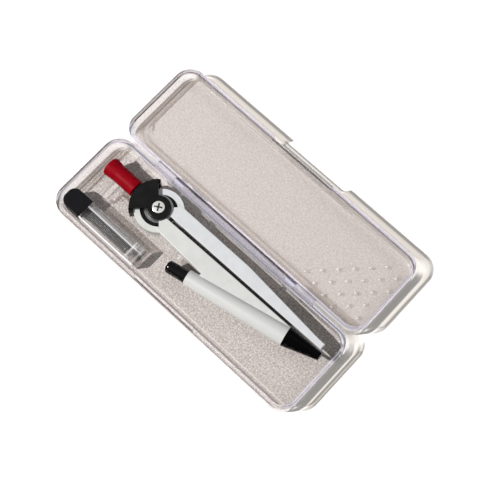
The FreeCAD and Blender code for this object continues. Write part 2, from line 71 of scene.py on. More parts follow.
camera_data = bpy.data.cameras.new("camera")
camera_data.sensor_width = 36.0
camera_data.lens = camera_data.sensor_width * focal_pixels / picture_size
camera_data.clip_start = 0.01
camera = bpy.data.objects.new("camera", camera_data)
bpy.context.scene.collection.objects.link(camera)
backwards = (camera_place - camera_target).normalized()
upwards = backwards.cross(picture_right)
camera.matrix_world = Matrix.Translation(camera_place) @ Matrix(
    (picture_right, upwards, backwards)
).transposed().to_4x4()
bpy.context.scene.camera = camera
print("lens", round(camera_data.lens, 1), "mm")

# %% [markdown]
# ## Lamps
# Two lamps light the case from far away. A small one from the left of the picture makes the shadows
# with clear outlines that fall to the right. A broad one from the other side only softens them. A
# lamp that is a point would make every outline hard, so both are discs: the size of a disc sets how
# soft the outlines are.

# %% Lamps
lamp_distance = 2.5
lamp_plan = {
    "key": {"direction": (-0.56, -0.69, 1.0), "size": 0.09, "power": 80.0},
    "fill": {"direction": (0.60, 0.65, 1.0), "size": 0.8, "power": 9.0},
}
for lamp_name, plan in lamp_plan.items():
    lamp_data = bpy.data.lights.new(lamp_name, "AREA")
    lamp_data.shape = "DISK"
    lamp_data.size = plan["size"]
    lamp_data.energy = plan["power"]
    lamp = bpy.data.objects.new(lamp_name, lamp_data)
    lamp_direction = Vector(plan["direction"]).normalized()
    lamp.location = lamp_direction * lamp_distance
    lamp.rotation_euler = lamp_direction.to_track_quat("Z", "Y").to_euler()
    bpy.context.scene.collection.objects.link(lamp)
print(len(lamp_plan), "lamps")

# %% [markdown]
# ## Surrounding
# Clear plastic shows only what it bends and mirrors, so the surrounding matters as much as the
# lamps. It is pale above and dark towards the horizon, which gives rims and polished metal their
# dark lines. A picture of a room could do that too, but a ramp over the height is enough here. On
# its way to the lid's floor light crosses up to ten clear surfaces at the hinge pins, so more of
# these are allowed than usual; with fewer, the pins would cast black patches.

# %% Surrounding
horizon_light, overhead_light = 0.08, 0.28
brightest_from = 0.6
clear_surfaces = 24

world = bpy.data.worlds.new("studio")
world.use_nodes = True
sky = world.node_tree
direction = sky.nodes.new("ShaderNodeTexCoord")
parts = sky.nodes.new("ShaderNodeSeparateXYZ")
rise = sky.nodes.new("ShaderNodeMapRange")
rise.inputs["From Min"].default_value = 0.0
rise.inputs["From Max"].default_value = brightest_from
rise.inputs["To Min"].default_value = horizon_light
rise.inputs["To Max"].default_value = overhead_light
sky.links.new(direction.outputs["Generated"], parts.inputs["Vector"])
sky.links.new(parts.outputs["Z"], rise.inputs["Value"])
sky.links.new(rise.outputs["Result"], sky.nodes["Background"].inputs["Strength"])
sky.nodes["Background"].inputs["Color"].default_value = (1.0, 1.0, 1.0, 1.0)
bpy.context.scene.world = world
bpy.context.scene.view_settings.view_transform = "Standard"
bpy.context.scene.cycles.transparent_max_bounces = clear_surfaces
print("surrounding from", horizon_light, "to", overhead_light)

# %% [markdown]
# ## Finishes
# Every finish starts from the same shader and reads the place of a point on the object itself, so
# its pattern stays with the piece when it moves. Small patterns of noise give each surface the
# unevenness of a real one: speckle in the colour, slight changes of gloss, a fine bump. A small
# class keeps the wiring of nodes in one place, so that each finish below reads as a short recipe.

# %% Helpers for finishes
empty, full = (0.0, 0.0, 0.0), (1.0, 1.0, 1.0)


class Finish:
    """A material with one main shader, and short ways to add a pattern to it."""

    def __init__(self, name):
        self.material = bpy.data.materials.new(name)
        self.material.use_nodes = True
        self.tree = self.material.node_tree
        self.shader = self.tree.nodes["Principled BSDF"]
        self.place = self.add("ShaderNodeTexCoord").outputs["Object"]

    def add(self, kind, **settings):
        """A new node of a kind, with its settings."""
        node = self.tree.nodes.new(kind)
        for setting, value in settings.items():
            setattr(node, setting, value)
        return node

    def link(self, source, target):
        """A wire from an output to a socket."""
        self.tree.links.new(source, target)

    def set(self, **values):
        """Set sockets of the shader to constants, written with _ for a space."""
        for name, value in values.items():
            self.shader.inputs[name.replace("_", " ")].default_value = value

    def feed(self, socket, source):
        """A wire from an output to a socket of the shader."""
        self.link(source, self.shader.inputs[socket])

    def noise(self, size, detail=3.0, stretch=(1, 1, 1)):
        """Noise with features about size metres across, squeezed along the axes by stretch."""
        mapping = self.add("ShaderNodeMapping")
        mapping.inputs["Scale"].default_value = stretch
        self.link(self.place, mapping.inputs["Vector"])
        noise = self.add("ShaderNodeTexNoise")
        noise.inputs["Scale"].default_value = 1.0 / size
        noise.inputs["Detail"].default_value = detail
        self.link(mapping.outputs["Vector"], noise.inputs["Vector"])
        return noise.outputs["Fac"]

    def part(self, axis, turn=0.0):
        """One coordinate of a point, along X, Y or Z, or along axes turned about Z."""
        turned = self.add("ShaderNodeMapping")
        turned.inputs["Rotation"].default_value = (0, 0, -turn)
        self.link(self.place, turned.inputs["Vector"])
        parts = self.add("ShaderNodeSeparateXYZ")
        self.link(turned.outputs["Vector"], parts.inputs["Vector"])
        return parts.outputs[axis]

    def between(self, factor, low, high, start=0.3, stop=0.7):
        """A number that goes from low to high as factor goes from start to stop."""
        node = self.add("ShaderNodeMapRange")
        node.inputs["From Min"].default_value = start
        node.inputs["From Max"].default_value = stop
        node.inputs["To Min"].default_value = low
        node.inputs["To Max"].default_value = high
        self.link(factor, node.inputs["Value"])
        return node.outputs["Result"]

    def after(self, axis, start, stop):
        """A mask that goes from 0 at start to 1 at stop along an axis."""
        return self.between(self.part(axis), 0.0, 1.0, start, stop)

    def before(self, axis, start, stop):
        """A mask that goes from 1 at start to 0 at stop along an axis."""
        return self.between(self.part(axis), 1.0, 0.0, start, stop)

    def mix(self, factor, low, high):
        """A colour from low to high, each a colour or another pattern's output."""
        node = self.add("ShaderNodeMix", data_type="RGBA")
        self.link(factor, node.inputs[0])
        for socket, colour in ((node.inputs[6], low), (node.inputs[7], high)):
            if isinstance(colour, tuple):
                socket.default_value = (*colour, 1.0)
            else:
                self.link(colour, socket)
        return node.outputs[2]

    def along(self, axis, *stops):
        """A colour that changes along an axis, from pairs of a place and a colour or a grey."""
        first, last = stops[0][0], stops[-1][0]
        ramp = self.add("ShaderNodeValToRGB")
        self.link(self.between(self.part(axis), 0.0, 1.0, first, last), ramp.inputs["Fac"])
        marks = ramp.color_ramp.elements
        while len(marks) < len(stops):
            marks.new(1.0)
        for mark, (place, colour) in zip(marks, stops):
            mark.position = (place - first) / (last - first)
            mark.color = (*colour, 1.0) if isinstance(colour, tuple) else (colour, colour, colour, 1.0)
        return ramp.outputs["Color"]

    def band(self, axis, start, stop, soft, level=1.0):
        """A mask of one level from start to stop along an axis, with soft edges."""
        return self.along(axis, (start - soft, 0.0), (start, level), (stop, level), (stop + soft, 0.0))

    def both(self, one, other):
        """A mask that shows only where two masks do."""
        return self.mix(one, empty, other)

    def bump(self, height, depth):
        """A bump of depth metres from a pattern."""
        node = self.add("ShaderNodeBump")
        node.inputs["Strength"].default_value = 1.0
        node.inputs["Distance"].default_value = depth
        self.link(height, node.inputs["Height"])
        self.feed("Normal", node.outputs["Normal"])


print("finish helpers ready")

# %% [markdown]
# ## Floor
# A plain pale floor, one square made by the grid operator. It lies a hair below the case, because
# two faces in exactly the same place would flicker through each other.

# %% Floor
floor_half = 6.0
floor_drop = 0.0002

floor_shape = bmesh.new()
bmesh.ops.create_grid(floor_shape, x_segments=1, y_segments=1, size=floor_half)
bmesh.ops.translate(floor_shape, verts=floor_shape.verts, vec=(0, 0, -floor_drop))
floor_mesh = bpy.data.meshes.new("floor")
floor_shape.to_mesh(floor_mesh)
floor_shape.free()
floor = bpy.data.objects.new("floor", floor_mesh)
bpy.context.scene.collection.objects.link(floor)

table = Finish("table")
table.feed("Base Color", table.mix(table.noise(0.05), (0.91, 0.885, 0.86), (0.93, 0.905, 0.88)))
table.set(Roughness=0.7, Specular_IOR_Level=0.2)
floor_mesh.materials.append(table.material)
print("floor", 2 * floor_half, "m wide")

# %% [markdown]
# ## Clear plastic
# The shells are polished clear plastic, and their floors have a fine moulded grain that greys what
# is seen through them. Real glass shading would leave everything under the case dark, because a
# lamp is hard to find through two bent surfaces. So light on its way to a lamp passes straight
# through instead, dimmed most where it grazes a wall, and at the rim and the rounded foot, which
# bend it away. That is how clear walls cast shadows with dark outlines and pale middles. Rounded
# edges catch light from all sides; here that is a painted highlight, a white colour where the edges
# let less light through.

# %% Clear plastic
lilac_glint = (0.86, 0.84, 1.0, 1.0)
lilac_tint = (0.34, 0.22, 0.56, 1.0)
# The white painted on rounded edges as a highlight.
painted_highlight_white = (0.95, 0.95, 0.96)
edge_clearness = 0.3
polish = 0.03
facing_light, grazing_light = 0.2, 0.45


def clear_plastic(name, surface_colour, flat_shadow, steep_shadow, bend, coat, tint_density, edges=None):
    """Polished plastic; colour, shadow and painted highlights come from functions given the finish."""
    finish = Finish(name)
    finish.set(IOR=bend, Specular_Tint=lilac_glint, Roughness=polish, Transmission_Weight=1.0)
    finish.set(Coat_Weight=coat, Coat_Roughness=0.04, Coat_IOR=1.5)
    colour = surface_colour(finish)
    if edges:
        # Where edges() asks for it, a white highlight is painted and less light is let through.
        edge = edges(finish)
        colour = finish.mix(edge, colour, painted_highlight_white)
        finish.feed("Transmission Weight", finish.between(edge, 1.0, edge_clearness, 0.0, 1.0))
    finish.feed("Base Color", colour)
    grazing = finish.add("ShaderNodeLayerWeight")
    grazing.inputs["Blend"].default_value = 0.5
    passed = finish.add("ShaderNodeBsdfTransparent")
    steep = finish.between(grazing.outputs["Facing"], 0.0, 1.0, facing_light, grazing_light)
    finish.link(finish.mix(steep, flat_shadow, steep_shadow(finish)), passed.inputs["Color"])
    light_path = finish.add("ShaderNodeLightPath")
    surface = finish.shader.outputs["BSDF"]
    for ray in ("Is Shadow Ray", "Is Diffuse Ray"):
        choice = finish.add("ShaderNodeMixShader")
        finish.link(light_path.outputs[ray], choice.inputs["Fac"])
        finish.link(surface, choice.inputs[1])
        finish.link(passed.outputs["BSDF"], choice.inputs[2])
        surface = choice.outputs["Shader"]
    output = finish.tree.nodes["Material Output"]
    finish.link(surface, output.inputs["Surface"])
    tint = finish.add("ShaderNodeVolumeAbsorption")
    tint.inputs["Color"].default_value = lilac_tint
    tint.inputs["Density"].default_value = tint_density
    finish.link(tint.outputs["Volume"], output.inputs["Volume"])
    return finish


print("clear plastic ready")

# %% [markdown]
# ## Lines of the shells
# A clear shell is seen by its lines: a pale rim, a dark gap at the hinge, dark and pale lines at the
# foot of a wall, the edge of the finger notch. They come from light that is bent more than once,
# which a render finds slowly or not at all. So the places where such lines lie are given as soft
# masks, measured from the sides of the solids, and the shadow, the white edges and the colour of the
# shells are mixed by them. The masks read the place on the piece, so the lines stay on the plastic
# from any side and in any pose.

# %% Places on the shells
tray_low, tray_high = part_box("tray_shell")
handle_end, point_end = tray_low[0], tray_high[0]
tray_front, tab_top = tray_low[1], tray_high[2]
front_inside, front_foot = tray_front + 0.0031, tray_front + 0.0043
lid_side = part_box("lid_shell")[1][1]
shell_floor = 0.0018
foot_radius = 0.0024
foot_top = 0.0046
rim_low, rim_top = 0.0091, 0.0105
barrel_half = 0.0380
gap_near, gap_far = 0.0004, 0.0013
notch_half = 0.0186
notch_low, notch_high = 0.0054, 0.0066


def at_front(finish):
    """The tray's front wall and the round at its foot."""
    return finish.before("Y", front_inside, front_foot)


def past_barrel(finish):
    """The part of the hinge between its barrel and the pointed end of the compass."""
    return finish.after("X", barrel_half + 0.0005, barrel_half + 0.0020)


def hinge_gap_shade(finish):
    """Where the gap between the hinge barrel and the lid shows; the rim is painted dark there as shade."""
    beside_barrel = finish.band("X", -barrel_half, barrel_half, 0.0005)
    return finish.both(beside_barrel, finish.band("Y", gap_near, gap_far, 0.0003, level=0.8))


def notch_edge(finish):
    """The edge of the lid's finger notch."""
    in_notch = finish.band("X", -notch_half, notch_half, 0.0006)
    return finish.both(in_notch, finish.band("Z", notch_low, notch_high, 0.0004))


def far_foot(finish):
    """The rounded foot of the lid's outer side, which shows through the wall above it."""
    outer = finish.after("Y", lid_side - 0.0015, lid_side - 0.0011)
    return finish.both(outer, finish.before("Z", foot_radius, foot_radius + 0.0006))


def handle_rim(finish):
    """The rim at the end where the handle of the compass lies."""
    return finish.before("X", handle_end + 0.0011, handle_end + 0.0016)


print("shells", round(1000 * (point_end - handle_end), 1), "mm long")

# %% [markdown]
# ## Lines at the foot of the walls
# Inside the tray the walls meet the floor in a round. Seen from above, that round bends the light
# into a dark line, and at the front a pale one lies beside it. Left to the bent light alone they come
# out too faint, so they are mixed into the colour of the floor.

# %% Lines at the foot of the walls
clear_wall = (0.98, 0.97, 0.97)
dark_line = (0.24, 0.22, 0.22)


def foot_lines(finish, colour):
    """The colour of the floor with the lines at the foot of the handle end and of the front wall."""
    end = finish.along(
        "X", (handle_end + 0.0023, 0.0), (handle_end + 0.0027, 0.6), (handle_end + 0.0038, 0.6),
        (handle_end + 0.0045, 0.0),
    )
    front = finish.along(
        "Y", (tray_front + 0.0032, 0.0), (tray_front + 0.0036, 0.8), (tray_front + 0.0040, 0.8),
        (tray_front + 0.0045, 0.3), (tray_front + 0.0052, 0.0),
    )
    pale = finish.band("Y", tray_front + 0.0056, tray_front + 0.0059, 0.0003, level=0.6)
    colour = finish.mix(end, colour, dark_line)
    colour = finish.mix(front, colour, dark_line)
    return finish.mix(pale, colour, clear_wall)


print("lines at the foot ready")

# %% [markdown]
# ## Shadow of the walls
# Under a lamp a clear wall throws a shadow that is dark where its rim and its foot bend the light
# away, and pale between. The walls differ: the front one lets almost everything through, while the
# lid's outer wall and the wall at the compass's points throw strong lines. A material for each wall
# would need the shells cut apart. Here a ramp over the height gives each kind of wall its bands, and
# masks choose the kind by the place.

# %% Shadow of the walls
deep_shade = (0.02, 0.016, 0.012)
hinge_shade = (0.64, 0.62, 0.59)
hinge_half = 0.0045
hinge_dark_low, hinge_dark_high, hinge_fade = 0.0060, 0.0080, 0.0006


def wall_shadow(finish):
    """What the walls let through to the table, by their height and by the side of the case."""

    def by_height(foot, wall, rim):
        """The bands of one kind of wall, from its foot up to its rim and to the top of the tab."""
        return finish.along(
            "Z", (0.0, foot), (foot_top, foot), (foot_top + 0.0006, 1.0), (foot_top + 0.0016, 1.0),
            (foot_top + 0.0024, wall), (rim_low, wall), (rim_low + 0.0004, rim), (rim_low + 0.0018, rim),
            (rim_low + 0.0022, wall), (tab_top - 0.0006, wall), (tab_top, rim),
        )

    near_walls = by_height((0.62, 0.59, 0.55), (0.88, 0.86, 0.83), (0.44, 0.41, 0.38))
    point_wall = by_height((0.05, 0.04, 0.03), (0.72, 0.68, 0.63), deep_shade)
    lid_wall = by_height((0.74, 0.71, 0.67), (0.56, 0.52, 0.47), deep_shade)
    lid_wall = finish.mix(notch_edge(finish), lid_wall, deep_shade)
    hinge = finish.mix(past_barrel(finish), (0.95, 0.94, 0.93), hinge_shade)
    hinge = finish.mix(finish.after("Z", hinge_dark_low, hinge_dark_low + hinge_fade), hinge, hinge_shade)
    hinge = finish.mix(finish.after("Z", hinge_dark_high, hinge_dark_high + hinge_fade), hinge, clear_wall)
    shadow = finish.mix(finish.band("Y", -hinge_half, hinge_half, 0.0015), near_walls, hinge)
    shadow = finish.mix(at_front(finish), shadow, clear_wall)
    shadow = finish.mix(finish.after("X", point_end - 0.0034, point_end - 0.0024), shadow, point_wall)
    return finish.mix(finish.after("Y", lid_side - 0.0053, lid_side - 0.0033), shadow, lid_wall)


print("shadow of the walls ready")

# %% [markdown]
# ## Painted white edges
# The upper edge of a moulded shell gathers light that has run inside its wall, and shines white. A
# render would need very many bounces inside the plastic to find that light. So the finish paints it:
# a white highlight colour, with less light let through, at the height of the rim, which is quick and
# free of speckle. At the front, in the gap at the hinge and at the handle's end the rim is darker, so
# the painted white is taken away again there. The lid's rounded outer foot, which shows through the
# wall, gets some painted white as well.

# %% Painted white edges
rim_dark_to, rim_pale_from = tray_front + 0.0006, tray_front + 0.0009
front_fade = 0.55
handle_painted_highlight = (0.05, 0.05, 0.05)
foot_painted_highlight = (0.4, 0.4, 0.4)


def rim_painted_highlights(finish):
    """Painted white highlight: along the rim, less in some places, and at the lid's far foot."""
    white = finish.along(
        "Z", (0.0, 0.0), (rim_top - 0.00038, 0.0), (rim_top - 0.0003, 1.0), (rim_top - 0.00006, 1.0),
        (rim_top - 0.00003, 0.4), (tab_top, 0.4),
    )
    faded = finish.along(
        "Y", (rim_dark_to, 1.0), (rim_pale_from, front_fade), (front_inside, front_fade), (front_foot, 0.0)
    )
    white = finish.mix(faded, white, empty)
    # The hinge gap gets no painted highlight; its dark is painted shade.
    white = finish.mix(hinge_gap_shade(finish), white, empty)
    # Almost no painted highlight at the handle end.
    white = finish.mix(handle_rim(finish), white, handle_painted_highlight)
    # The lid's far foot gets a grey-white painted highlight.
    return finish.mix(far_foot(finish), white, foot_painted_highlight)


print("white edges ready")

# %% [markdown]
# ## Shells of the case
# Both shells are moulded from the same plastic. Their walls show long streaks of what they bend and
# mirror, darkest in the lid's outer wall. Streaks could come from a room full of dark and pale
# things. Here they are painted: noise that is drawn out along the walls gives them without a room.
# The rim is painted too, as light on one plastic: a lilac sheen, cream light and a dark line at the
# front, and shade at the hinge gap and at the handle's end. The grain of the tray's floor differs
# more in tone than the lid's, so each shell gets its own pair of colours.

# %% Shells of the case
# Rim colours are painted light on one plastic: lilac sheen, cream light, grey shade.
painted_lilac_rim_sheen = (0.68, 0.65, 0.84)
painted_cream_rim_light = (0.80, 0.76, 0.70)
painted_grey_rim_shade = (0.40, 0.39, 0.42)
floor_roughness = 0.08


def shell_walls(finish):
    """Walls with painted streaks of bent light, clear at the handle end; a rim with painted sheen and shade."""
    # The streaks are painted reflections of bent and mirrored light.
    streaks = finish.between(finish.noise(0.0014, stretch=(0.02, 0.02, 1)), 0.0, 1.0, 0.42, 0.58)
    walls = finish.mix(streaks, (0.44, 0.41, 0.41), clear_wall)
    lid_wall = finish.mix(streaks, (0.26, 0.24, 0.23), (0.70, 0.67, 0.65))
    walls = finish.mix(finish.after("Y", lid_side - 0.0028, lid_side - 0.0023), walls, lid_wall)
    walls = finish.mix(finish.before("X", handle_end + 0.0050, handle_end + 0.0080), walls, clear_wall)
    # At the front the rim is painted with a dark line fading to cream light; at the hinge gap and the handle end
    # it is painted shade.
    front_rim_painted_light = finish.along("Y", (rim_dark_to, dark_line), (rim_pale_from, painted_cream_rim_light))
    rim = finish.mix(hinge_gap_shade(finish), painted_lilac_rim_sheen, dark_line)
    rim = finish.mix(at_front(finish), rim, front_rim_painted_light)
    rim = finish.mix(handle_rim(finish), rim, painted_grey_rim_shade)
    return finish.mix(finish.after("Z", rim_low - 0.0004, rim_low), walls, rim)


def clear_shell(name, grain_low, grain_high):
    """The finish of a shell, with a moulded grain between two colours on its floor."""

    def surface_colour(finish):
        above_floor = finish.after("Z", shell_floor + 0.00003, shell_floor + 0.00033)
        finish.feed("Roughness", finish.between(above_floor, floor_roughness, polish, 0.0, 1.0))
        grain = finish.between(finish.noise(0.0008, detail=2.0), 0.0, 1.0, 0.36, 0.64)
        floor_colour = foot_lines(finish, finish.mix(grain, grain_low, grain_high))
        return finish.mix(above_floor, floor_colour, shell_walls(finish))

    return clear_plastic(
        name, surface_colour, (1.0, 1.0, 0.995), wall_shadow,
        bend=1.24, coat=0.7, tint_density=6.0, edges=rim_painted_highlights,
    ).material


clear_tray = clear_shell("clear_tray", (0.44, 0.405, 0.40), (0.86, 0.82, 0.815))
clear_lid = clear_shell("clear_lid", (0.64, 0.595, 0.59), (0.81, 0.77, 0.765))
print("shells", clear_tray.name, clear_lid.name)

# %% [markdown]
# ## Tube of the lead box
# The spare leads lie in a four-sided clear tube with a solid end. Its straight edges catch the light
# as pale lines along it and across its end. Rounding the edges of a copy would catch the light too,
# but such thin lines come and go with the view. So the lines are painted highlights, placed by masks
# measured from the sides of the tube, which keep them steady; the solid end is painted a little pale
# as well.

# %% Tube of the lead box
tube_low, tube_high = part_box("lead_box")
tube_front, tube_back, tube_tip = tube_low[1], tube_high[1], tube_high[0]


def tube_colour(finish):
    """Clear, with a faint unevenness."""
    return finish.mix(finish.noise(0.002), (0.95, 0.945, 0.94), (0.99, 0.985, 0.98))


def tube_painted_highlights(finish):
    """Painted highlights: pale lines along the two long edges and across the solid end."""
    along_edges = finish.along(
        "Y", (tube_front, 0.9), (tube_front + 0.0005, 0.9), (tube_front + 0.0008, 0.05),
        (tube_back - 0.0036, 0.0), (tube_back - 0.0033, 0.5), (tube_back - 0.0029, 0.5),
        (tube_back - 0.0026, 0.12), (tube_back, 0.12),
    )
    across_end = finish.along(
        "X", (tube_tip - 0.0060, 0.0), (tube_tip - 0.0057, 0.4), (tube_tip - 0.0052, 0.4),
        (tube_tip - 0.0048, 0.05), (tube_tip - 0.0014, 0.1), (tube_tip - 0.0011, 0.3),
        (tube_tip - 0.0006, 0.3), (tube_tip - 0.0003, 0.0),
    )
    return finish.mix(across_end, along_edges, full)


def tube_shadow(finish):
    """What the sides let through, and the dark outline of the end."""
    side = finish.mix(finish.noise(0.002), (0.50, 0.48, 0.46), (0.58, 0.56, 0.54))
    at_tip = finish.after("X", tube_tip - 0.0006, tube_tip - 0.0002)
    return finish.mix(at_tip, side, (0.04, 0.04, 0.04))


clear_tube = clear_plastic(
    "clear_tube", tube_colour, (0.9, 0.89, 0.89), tube_shadow,
    bend=1.22, coat=0.3, tint_density=2.0, edges=tube_painted_highlights,
).material
print("tube", round(1000 * (tube_back - tube_front), 1), "mm wide")

# %% [markdown]
# ## Enamel, plastic, metal
# The other finishes differ in colour, gloss and grain only. Each could be wired by itself, but they
# all need the same three things: a colour between two tones, a gloss that isn't quite even, and a
# bump too fine to see as such. So one function makes them all from a few numbers.

# %% Opaque finish
gloss_change = 0.15
gloss_patch, bump_patch = 6, 0.5


def plain_finish(name, low, high, grain, roughness, depth, stretch=(1, 1, 1), over=None, **settings):
    """A finish between two colours in a grain, with uneven gloss and a fine bump."""
    finish = Finish(name)
    finish.set(**settings)
    pattern = finish.between(finish.noise(grain, stretch=stretch), 0.0, 1.0)
    colour = finish.mix(pattern, low, high)
    finish.feed("Base Color", over(finish, colour) if over else colour)
    least, most = roughness * (1 - gloss_change), roughness * (1 + gloss_change)
    finish.feed("Roughness", finish.between(finish.noise(grain * gloss_patch), least, most))
    finish.bump(finish.noise(grain * bump_patch), depth)
    return finish.material


print("opaque finish ready")

# %% [markdown]
# ## White enamel
# The legs of the compass are painted white, smooth with a faint unevenness. On the pencil leg the
# barrel gets painted shade, a tone a little darker than the flat of the leg. It could be a piece
# with a paint of its own, but leg and barrel are one solid. So the finish looks at the place of a
# point across the slanting barrel and at its height. The slant is read from the joint of the push
# button, which slides along it.

# %% White enamel
cool_white = plain_finish(
    "cool_white", (0.53, 0.535, 0.545), (0.575, 0.58, 0.59), grain=0.004, roughness=0.32, depth=4e-6
)

button_low, button_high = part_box("push_button")
barrel_point = (Vector(button_low) + Vector(button_high)) / 2
button_axis = next(joint["axis"] for joint in frame["joints"] if joint["name"] == "button_press")
barrel_turn = math.atan2(button_axis[1], button_axis[0])
barrel_line = barrel_point.y * math.cos(barrel_turn) - barrel_point.x * math.sin(barrel_turn)
barrel_blend = 0.0005
leg_top = 0.0104


def paint_barrel_shade(finish, colour):
    """The colour of the pencil leg, with painted shade on its barrel, darker than the flat of the leg."""
    across = finish.part("Y", barrel_turn)
    behind = finish.between(across, 0.0, 1.0, barrel_line - barrel_blend, barrel_line + barrel_blend)
    raised = finish.after("Z", leg_top + 0.0002, leg_top + 0.0006)
    barrel = finish.mix(behind, full, raised)
    # The painted shade of the barrel, in the same white enamel.
    barrel_painted_shade = finish.mix(finish.noise(0.004), (0.485, 0.485, 0.47), (0.505, 0.505, 0.49))
    return finish.mix(barrel, colour, barrel_painted_shade)


warm_white = plain_finish(
    "warm_white", (0.52, 0.52, 0.50), (0.565, 0.565, 0.545), grain=0.004, roughness=0.34, depth=4e-6,
    over=paint_barrel_shade,
)
print("barrel turned by", round(math.degrees(barrel_turn), 2), "degrees")

# %% [markdown]
# ## Black, red and white pieces
# The head of the compass, the cap of the lead box, the pencil's nose and its button are all black,
# and the eye tells them apart by their gloss. One black would do for their form, but each gets its
# own roughness and strength of mirroring. The red handle mirrors little, and the white tube inside
# the pencil is plain moulded plastic.

# %% Black, red and white pieces
black = plain_finish(
    "black", (0.002, 0.002, 0.002), (0.004, 0.004, 0.004), grain=0.0006, roughness=0.34, depth=6e-6,
    Specular_IOR_Level=0.28,
)
dull_black = plain_finish(
    "dull_black", (0.003, 0.003, 0.004), (0.006, 0.006, 0.007), grain=0.0006, roughness=0.5, depth=6e-6,
    Specular_IOR_Level=0.10,
)
deep_black = plain_finish(
    "deep_black", (0.0004, 0.0003, 0.0003), (0.001, 0.0008, 0.0008), grain=0.0006, roughness=0.25,
    depth=5e-6, Specular_IOR_Level=0.08,
)
gloss_black = plain_finish(
    "gloss_black", (0.001, 0.001, 0.001), (0.002, 0.002, 0.002), grain=0.0008, roughness=0.16, depth=2e-6,
    Specular_IOR_Level=0.35,
)
red = plain_finish(
    "red", (0.17, 0.001, 0.004), (0.265, 0.002, 0.009), grain=0.0012, roughness=0.42, depth=5e-6,
    Specular_IOR_Level=0.04,
)
white_plastic = plain_finish(
    "white_plastic", (0.75, 0.75, 0.73), (0.82, 0.82, 0.8), grain=0.002, roughness=0.4, depth=3e-6
)
print(black.name, dull_black.name, deep_black.name, gloss_black.name, red.name, white_plastic.name)

# %% [markdown]
# ## Metal and graphite
# Metals take their colour from what they mirror. The needle and the sleeve at the pencil's tip are
# so thin that as full metal they would show little but the dark horizon, so they are made about half
# metal. The spare leads lie side by side. They could be striped by hand, but their grain drawn out
# along them gives the same fine lines.

# %% Metal and graphite
steel = plain_finish(
    "steel", (0.50, 0.50, 0.51), (0.66, 0.66, 0.67), grain=0.0008, roughness=0.28, depth=2e-6, Metallic=1.0
)
bright = plain_finish(
    "bright", (0.76, 0.75, 0.74), (0.90, 0.89, 0.88), grain=0.0008, roughness=0.10, depth=2e-6, Metallic=1.0
)
pin_steel = plain_finish(
    "pin_steel", (0.58, 0.57, 0.56), (0.68, 0.67, 0.66), grain=0.0008, roughness=0.2, depth=2e-6,
    Metallic=0.55,
)
brass = plain_finish(
    "brass", (0.6, 0.42, 0.16), (0.72, 0.53, 0.24), grain=0.001, roughness=0.3, depth=2e-6, Metallic=1.0
)
graphite = plain_finish(
    "graphite", (0.003, 0.003, 0.003), (0.10, 0.095, 0.095), grain=0.0010, roughness=0.4, depth=3e-6,
    stretch=(0.01, 1, 1),
)
print(steel.name, bright.name, pin_steel.name, brass.name, graphite.name)

# %% [markdown]
# ## Dressing the solids
# The record of the case names a material for every piece. Each piece could be given its finish by
# hand, but a table that leads from those names to the finishes is shorter. A few pieces differ from
# others of the same material, and get a finish of their own afterwards.

# %% Each solid gets the finish that its record names, or its own
finish_of_slot = {
    "clear_plastic": clear_tray,
    "lead_box_plastic": clear_tube,
    "red_grip": red,
    "white_enamel": cool_white,
    "white_plastic": white_plastic,
    "black_plastic": black,
    "steel": steel,
    "bright_steel": bright,
    "brass": brass,
    "graphite": graphite,
}
for row in frame["record"]["subparts"]:
    nodes[row["node"]].material_slots[0].material = finish_of_slot[row["material_slot"]]
finish_of_node = {
    "lid_shell": clear_lid,
    "pencil_leg": warm_white,
    "nose_cone": deep_black,
    "push_button": gloss_black,
    "lead_box_cap": dull_black,
    "needle": pin_steel,
    "tip_sleeve": pin_steel,
}
for node_name, material in finish_of_node.items():
    nodes[node_name].material_slots[0].material = material

# %% [markdown]
# ## Raised dots in the lid
# Low domes stand in staggered rows on the lid's floor. The solids have them, but as polished as the
# floor, where they all but vanish. So each gets a thin pale skin that the lamps light: its pale
# colour is a painted glint, for the light that the clear domes gather. A dome could be spun from an
# arc; it is quicker to repeat whole balls along the rows and cut them all at the floor by one plane.

# %% Dots
dot_rows, dot_columns = 6, 5
dot_radius = 0.00086
dot_height = 0.00052
dot_pitch, dot_row_pitch, dot_stagger = 0.0070, 0.0065, 0.0041
first_dot = Vector((0.0355, 0.0103, shell_floor))
dot_limit = 0.0707
dot_slant = math.radians(-12)
row_direction = Vector((math.cos(dot_slant), math.sin(dot_slant), 0))
step_direction = Vector((-row_direction.y, row_direction.x, 0))
ball_radius = (dot_radius ** 2 + dot_height ** 2) / (2 * dot_height)
ball_steps = 24

dots = bmesh.new()
for row in range(dot_rows):
    for column in range(dot_columns):
        along = column * dot_pitch + row * dot_stagger
        place = first_dot + row_direction * along + step_direction * (row * dot_row_pitch)
        if place.x < dot_limit:
            centre = place + Vector((0, 0, dot_height - ball_radius))
            bmesh.ops.create_uvsphere(
                dots, u_segments=ball_steps, v_segments=ball_steps, radius=ball_radius,
                matrix=Matrix.Translation(centre),
            )
balls = dots.verts[:] + dots.edges[:] + dots.faces[:]
bmesh.ops.bisect_plane(
    dots, geom=balls, plane_co=(0, 0, shell_floor), plane_no=(0, 0, 1), clear_inner=True
)
bmesh.ops.holes_fill(dots, edges=[edge for edge in dots.edges if edge.is_boundary], sides=0)
bmesh.ops.recalc_face_normals(dots, faces=dots.faces)
print("dots with", len(dots.faces), "faces")

# %% Pale skin of the dots, a painted glint


def dot_colour(finish):
    """A pale speckle, painted as a glint."""
    return finish.mix(finish.noise(0.0004), (0.90, 0.86, 0.84), (0.98, 0.95, 0.93))


def dot_shadow(finish):
    """A light shadow, as the pale skin scatters what it lets through."""
    return finish.mix(finish.noise(0.0004), (0.55, 0.53, 0.51), (0.63, 0.61, 0.59))


pale_dot_glint = clear_plastic("pale_dot_glint", dot_colour, full, dot_shadow, bend=1.16, coat=0.2, tint_density=0.0)
pale_dot_glint.set(Roughness=0.2, Transmission_Weight=0.6)


